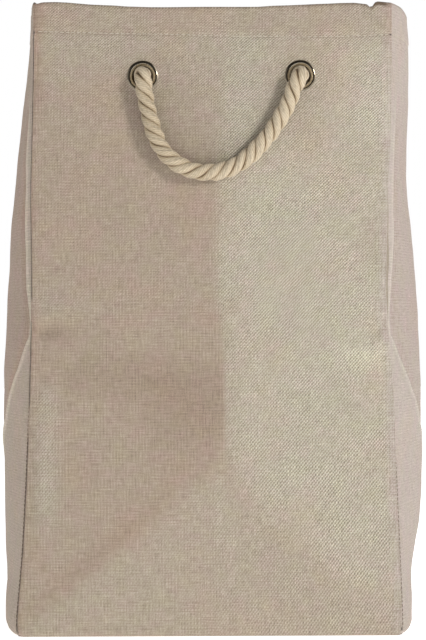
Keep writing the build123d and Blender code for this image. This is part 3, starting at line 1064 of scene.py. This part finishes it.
def gusset_hem_stitches(side, names, bodies):
    for name, (a, b), kind in zip(names, ((0.01, 0.345), (0.345, 0.655), (0.655, 0.99)), range(3)):
        t = np.linspace(a, b, 200)
        x, y, z = gusset_point(side, t, np.full_like(t, 0.569))
        pos, d = along_curve(np.stack([x, y, z], -1), 0.0036)
        nrm = np.tile([float(side), 0, 0], (len(pos), 1))
        obj = stitch_mesh(name, pos, d, nrm, 0.0029, 0.00042, THREAD_MAT, None)
        if kind == 0:
            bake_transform(obj)
        elif kind == 1:
            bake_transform(obj)
        elif side < 0:
            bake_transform(obj)
        else:
            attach(obj, bodies[1])


gusset_hem_stitches(-1, ["left_hem_stitches_front", "left_hem_stitches_crease", "left_hem_stitches_rear"], ("left_front", "left_rear"))
gusset_hem_stitches(1, ["right_hem_stitches_front", "right_hem_stitches_crease", "right_hem_stitches_rear"], ("right_front", "right_rear"))


def seam_stitches(name, side, back=False):
    # higher up they are lost in the fold of the seam
    z = np.linspace(0.010, 0.300 if back or side < 0 else 0.170, 300)
    s = np.full_like(z, 0.0 if side < 0 else 1.0)
    x, y, z = panel_point(s, z, back)
    # the pull of each stitch shows more towards the foot
    pts = np.stack([x, y, z], -1)
    pos, d = along_curve(pts, 0.0042)
    nrm = np.tile([side * 0.7, 0.7 if back else -0.7, 0], (len(pos), 1))
    if side < 0 and not back:
        depth = np.interp(pos[:, 2], [0.0, 0.18, 0.26, 0.60], [0.0002, 0.0001, -0.0007, -0.0008])
    else:
        depth = np.interp(pos[:, 2], [0.0, 0.15, 0.19, 0.60], [0.0002, 0.0, -0.0009, -0.0010])
    pos = pos + nrm * depth[:, None]
    return stitch_mesh(name, pos, d, nrm, 0.0029, 0.00036, DARK_THREAD_MAT, "back" if back else "front")


seam_stitches("front_left_seam_stitches", -1)
seam_stitches("front_right_seam_stitches", 1)
seam_stitches("back_left_seam_stitches", -1, True)
seam_stitches("back_right_seam_stitches", 1, True)


# ---------------------------------------------------------------- rope handles
LOOP_ROUTE = [
    (-0.0655, -0.1605, 0.5300),
    (-0.0607, -0.1612, 0.4966),
    (-0.0492, -0.1625, 0.4575),
    (-0.0170, -0.1632, 0.4362),
    (0.0215, -0.1632, 0.4408),
    (0.0510, -0.1622, 0.4688),
    (0.0705, -0.1612, 0.4990),
    (0.0835, -0.1605, 0.5300),
]
EXIT_Y = -0.1440


def spline_points(control, count=520):
    """Points of the smooth NURBS line with these control points."""
    curve = bpy.data.curves.new("line", "CURVE")
    curve.dimensions = "3D"
    sp = curve.splines.new("NURBS")
    sp.points.add(len(control) - 1)
    for p, c in zip(sp.points, control):
        p.co = (*c, 1.0)
    sp.order_u = 3
    sp.use_endpoint_u = True
    sp.resolution_u = 48
    obj = bpy.data.objects.new("line", curve)
    mesh = bpy.data.meshes.new_from_object(obj)
    pts = np.array([v.co[:] for v in mesh.vertices])
    bpy.data.objects.remove(obj)
    bpy.data.curves.remove(curve)
    bpy.data.meshes.remove(mesh)
    keep = np.r_[True, np.linalg.norm(np.diff(pts, axis=0), axis=1) > 1e-7]
    pts = pts[keep]
    s = np.r_[0, np.cumsum(np.linalg.norm(np.diff(pts, axis=0), axis=1))]
    at = np.linspace(0, s[-1], count)
    return np.stack([np.interp(at, s, pts[:, k]) for k in range(3)], -1), s[-1]


def frames(points):
    """Parallel-transported axes along a line."""
    tangent = np.gradient(points, axis=0)
    tangent /= np.linalg.norm(tangent, axis=1, keepdims=True)
    ref = np.array([0.0, 0.0, 1.0])
    if abs(tangent[0] @ ref) > 0.9:
        ref = np.array([1.0, 0.0, 0.0])
    n = np.zeros_like(points)
    n0 = ref - tangent[0] * (ref @ tangent[0])
    n[0] = n0 / np.linalg.norm(n0)
    for i in range(1, len(points)):
        v = n[i - 1] - tangent[i] * (n[i - 1] @ tangent[i])
        n[i] = v / np.linalg.norm(v)
    return tangent, n, np.cross(tangent, n)


def twisted_rope(name, points, diameter=0.016, lay=0.039, phase=0.0, ends=True, sides=26):
    """Three strands, left-handed, round a line of points."""
    tangent, n, b = frames(points)
    s = np.r_[0, np.cumsum(np.linalg.norm(np.diff(points, axis=0), axis=1))]
    R = diameter / 2
    centre_r = R * 0.515
    strand_r = R * 0.50
    r = np.random.default_rng(int(abs(phase) * 100) + 5)
    verts, faces, strand, rise = [], [], [], []
    for k in range(3):
        ang = phase + 2 * math.pi * k / 3 - 2 * math.pi * s / lay
        fat = 1 + 0.045 * np.sin(2 * math.pi * s / 0.041 + r.uniform(0, 6)) + 0.035 * np.sin(2 * math.pi * s / 0.017 + r.uniform(0, 6))
        radial = n * np.cos(ang)[:, None] + b * np.sin(ang)[:, None]
        c = points + radial * centre_r
        st = np.gradient(c, axis=0)
        st /= np.linalg.norm(st, axis=1, keepdims=True)
        rad = radial - st * np.sum(radial * st, 1, keepdims=True)
        rad /= np.linalg.norm(rad, axis=1, keepdims=True)
        tan2 = np.cross(st, rad)
        start = len(verts)
        m = len(points)
        for i in range(m):
            taper = 1.0
            if ends:
                e = min(i, m - 1 - i) / 5.0
                taper = min(1.0, 0.25 + 0.75 * math.sqrt(max(0.0, min(1.0, e))))
            for j in range(sides):
                a = 2 * math.pi * j / sides
                # flattened where the strands press together, plump outside, with yarn ridges
                shape = 1.0 - 0.06 * (1 - math.cos(a)) * 0.5
                ridge = 1 + 0.022 * math.sin(11 * a + 2 * math.pi * s[i] / 0.0036)
                rr = strand_r * fat[i] * shape * ridge * taper
                wide = 1.10
                v = c[i] + rad[i] * (rr * math.cos(a)) + tan2[i] * (rr * wide * math.sin(a))
                verts.append(v)
                strand.append((j / sides, s[i], float(k)))
                d = v - points[i]
                d = d - tangent[i] * (d @ tangent[i])
                rise.append(float(np.clip((np.linalg.norm(d) / R - 0.60) / 0.40, 0, 1)))
        for i in range(m - 1):
            for j in range(sides):
                j2 = (j + 1) % sides
                faces.append((start + i * sides + j, start + i * sides + j2, start + (i + 1) * sides + j2, start + (i + 1) * sides + j))
        faces.append(tuple(start + j for j in reversed(range(sides))))
        faces.append(tuple(start + (m - 1) * sides + j for j in range(sides)))
    obj = add_mesh(name, verts, faces, ROPE_MAT, {"strand": np.array(strand), "rise": np.array(rise)})
    return obj


def knot_line(x, z, y_sign, mirror, tail_len=0.020):
    """Centreline of an overhand stopper knot behind an eyelet, in the row frame.
    The rope comes in along the eyelet's axis and its tail hangs down."""
    ts = np.linspace(-2.32, 2.32, 15)
    kx, kz, ky = 0.0046, 0.0046, 0.0072
    knot = []
    for t in ts:
        a = math.sin(t) + 2 * math.sin(2 * t)
        c = math.cos(t) - 2 * math.cos(2 * t)
        d = -math.sin(3 * t)
        knot.append((a * kx * mirror, d * ky, c * kz))
    knot = np.array(knot)
    depth0 = PIVOT_Y - 0.0012
    centre_y = depth0 - 0.0185
    pts = [(x, depth0 + 0.010, z), (x, depth0 - 0.002, z), (x, depth0 - 0.010, z)]
    for q in knot:
        pts.append((x + q[0], centre_y - q[1] - 0.001, z + q[2] - 0.001))
    last = pts[-1]
    pts.append((last[0] * 0.9 + x * 0.1, last[1] - 0.003, last[2] - 0.012))
    pts.append((last[0] * 0.8 + x * 0.2, last[1] - 0.002, last[2] - tail_len))
    pts = np.array(pts)
    pts[:, 1] *= y_sign
    return pts


def handle(prefix, turned):
    sign = -1.0 if turned else 1.0
    route = [(x * sign, y * sign, z) for x, y, z in LOOP_ROUTE]
    first, last = route[0], route[-1]
    body, swing = ("back", "back_handle") if turned else ("front", "front_handle")
    control = [
        (first[0], EXIT_Y * sign, EYELET_Z + 0.0008),
        (first[0], (-0.1535) * sign, EYELET_Z + 0.0014),
        (first[0], (-0.1617) * sign, EYELET_Z + 0.0004),
        (first[0] + 0.0018 * sign, -0.1618 * sign, EYELET_Z - 0.0130),
        *route[1:-1],
        (last[0] - 0.0062 * sign, -0.1618 * sign, EYELET_Z - 0.0120),
        (last[0], (-0.1617) * sign, EYELET_Z + 0.0002),
        (last[0], (-0.1535) * sign, EYELET_Z + 0.0010),
        (last[0], EXIT_Y * sign, EYELET_Z + 0.0006),
    ]
    pts, length = spline_points(control)
    loop = twisted_rope(f"{prefix}_rope", pts, phase=0.4 if not turned else 1.7)
    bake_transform(loop)
    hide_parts(f"{prefix}_rope_loop")
    for k, x in enumerate((first[0], last[0])):
        side = "left" if x < 0 else "right"
        line = knot_line(x, EYELET_Z, -1.0 if not turned else 1.0, 1 if x < 0 else -1)
        kp, _ = spline_points([tuple(q) for q in line], 260)
        knot = twisted_rope(f"{prefix}_{side}_knot", kp, diameter=0.0136, lay=0.031, phase=0.9 + k, sides=20)
        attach(knot, body)
        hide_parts(f"{prefix}_{side}_rope_end")
    print(prefix, "rope length", round(length, 4))
    return loop


handle("front", False)
handle("back", True)


# ----------------------------------------------------------------- seam tapes
def panel_inner(x, z, back=False):
    """A point on the inner face of a panel at x, z."""
    zc = np.clip(z, 0, 0.6)
    if back:
        xl, xr = -PIVOT_X + 0 * zc, PIVOT_X + 0 * zc
    else:
        xl, xr = seam_left(zc), seam_right(zc)
    s = (x - xl) / (xr - xl)
    _, y, _ = panel_point(s, z, back)
    return y + (-1 if back else 1) * (CLOTH + 0.0001)


def tape(node, body, back, vertical=True):
    lo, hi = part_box(node)
    across, along = 7, 150 if vertical else 90
    fold = noise2(41, 0.06, 0.08)
    if vertical:
        A = np.linspace(lo[0], hi[0], across)
        B = np.linspace(lo[2], hi[2], along)
        X, Z = np.meshgrid(A, B)
        X = X + 0.0006 * fold(X * 0, Z)
    else:
        A = np.linspace(lo[2], hi[2], across)
        B = np.linspace(lo[0], hi[0], along)
        Z, X = np.meshgrid(A, B)
        Z = Z + 0.0004 * fold(X, Z * 0)
    base = panel_inner(X, Z, back)
    sgn = -1.0 if back else 1.0
    f = np.linspace(-1, 1, across)[None, :]
    crown = 0.00095 - 0.00035 * np.abs(f) ** 4 - 0.0002 * bump(f, 0.72, 0.08) - 0.0002 * bump(f, -0.72, 0.08)
    Y = base + sgn * (crown + 0.00015 * fold(X * 3, Z * 3))
    p = np.stack([X, Y, Z], -1)
    n = np.zeros_like(p)
    n[..., 1] = sgn
    inner = p.copy()
    inner[..., 1] = base - sgn * 0.0001
    uv = np.stack([X + 5, Z] if vertical else [Z + 5, X], -1)
    painted_shade = np.zeros(X.shape)
    flip = (not back) == vertical
    obj = cloth_piece(node + "_tape", p, inner, n, uv, painted_shade, TAPE_MAT, flip=flip)
    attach(obj, body)
    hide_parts(node)
    return obj


for s_name in ("front", "back"):
    for h_name in ("left", "right"):
        tape(f"{s_name}_{h_name}_seam_binding", s_name, s_name == "back")
    tape(f"{s_name}_base_seam_binding", s_name, s_name == "back", vertical=False)

# -------------------------------------------------------- eyelets and washers
for node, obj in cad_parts.items():
    if node.endswith("_eyelet") or node.endswith("_washer"):
        obj.data.materials.clear()
        obj.data.materials.append(METAL_MAT)
        obj.data.polygons.foreach_set("use_smooth", [True] * len(obj.data.polygons))

# --------------------------------------------------------------- floor, light
floor_mat, floor_nt, floor_bsdf = new_material("studio_floor")
floor_bsdf.inputs["Base Color"].default_value = (0.93, 0.93, 0.93, 1)
floor_bsdf.inputs["Roughness"].default_value = 0.85
floor_bsdf.inputs["Emission Color"].default_value = (1, 1, 1, 1)
floor_bsdf.inputs["Emission Strength"].default_value = 0.80
fm = bpy.data.meshes.new("studio_floor")
fm.from_pydata([(-6, -4, 0), (6, -4, 0), (6, 8, 0), (-6, 8, 0)], [], [(0, 1, 2, 3)])
fm.materials.append(floor_mat)
floor = link(bpy.data.objects.new("studio_floor", fm))

world = bpy.data.worlds.new("studio")
bpy.context.scene.world = world
world.use_nodes = True
wt = world.node_tree
wt.nodes.clear()
w_out = wt.nodes.new("ShaderNodeOutputWorld")
w_white = wt.nodes.new("ShaderNodeBackground")
w_white.inputs["Color"].default_value = (1.0, 1.0, 1.0, 1)
w_room = wt.nodes.new("ShaderNodeBackground")
w_mix = wt.nodes.new("ShaderNodeMixShader")
w_path = wt.nodes.new("ShaderNodeLightPath")
wg = Graph(wt)
w_dir = wt.nodes.new("ShaderNodeTexCoord").outputs["Generated"]
dx, dy, dz = wg.split(w_dir)
# a dim room in front of the bag, a bright sweep behind it
w_level = wg.math("MULTIPLY_ADD", dy, 0.17, wg.math("MULTIPLY_ADD", dz, 0.08, wg.math("MULTIPLY_ADD", dx, 0.02, 0.31)))
wt.links.new(w_level, w_room.inputs["Strength"])
w_room.inputs["Color"].default_value = (1.0, 1.0, 1.0, 1)
wt.links.new(w_path.outputs["Is Camera Ray"], w_mix.inputs["Fac"])
# what polished metal sees: a dark room with a tall soft box on each side
w_soft = wt.nodes.new("ShaderNodeBackground")
w_right = wg.math("MULTIPLY", wg.math("SUBTRACT", dx, 0.50), 5.0, clamp=True)
w_left = wg.math("MULTIPLY", wg.math("SUBTRACT", -0.70, dx), 5.0, clamp=True)
w_boxes = wg.math("MULTIPLY_ADD", w_right, 3.2, wg.math("MULTIPLY_ADD", w_left, 0.55, 0.14))
wt.links.new(w_boxes, w_soft.inputs["Strength"])
w_kind = wt.nodes.new("ShaderNodeMixShader")
wt.links.new(w_path.outputs["Is Glossy Ray"], w_kind.inputs["Fac"])
wt.links.new(w_room.outputs[0], w_kind.inputs[1])
wt.links.new(w_soft.outputs[0], w_kind.inputs[2])
wt.links.new(w_kind.outputs[0], w_mix.inputs[1])
wt.links.new(w_white.outputs[0], w_mix.inputs[2])
wt.links.new(w_mix.outputs[0], w_out.inputs["Surface"])


def area_light(name, location, target, size, power, colour=(1, 1, 1)):
    data = bpy.data.lights.new(name, "AREA")
    data.shape = "RECTANGLE"
    data.size, data.size_y = size
    data.energy = power
    data.color = colour
    obj = link(bpy.data.objects.new(name, data))
    obj.location = location
    direction = Vector(target) - Vector(location)
    obj.rotation_euler = direction.to_track_quat("-Z", "Y").to_euler()
    return obj


area_light("key", (1.75, -1.95, 1.20), (0, -0.1, 0.3), (0.42, 0.50), 32.9, (1.0, 0.99, 0.975))
area_light("fill", (-1.8, -1.6, 0.9), (0, 0, 0.3), (1.6, 1.6), 4.2, (0.98, 0.99, 1.0))

bpy.context.scene.view_settings.view_transform = "Standard"
bpy.context.scene.view_settings.look = "None"
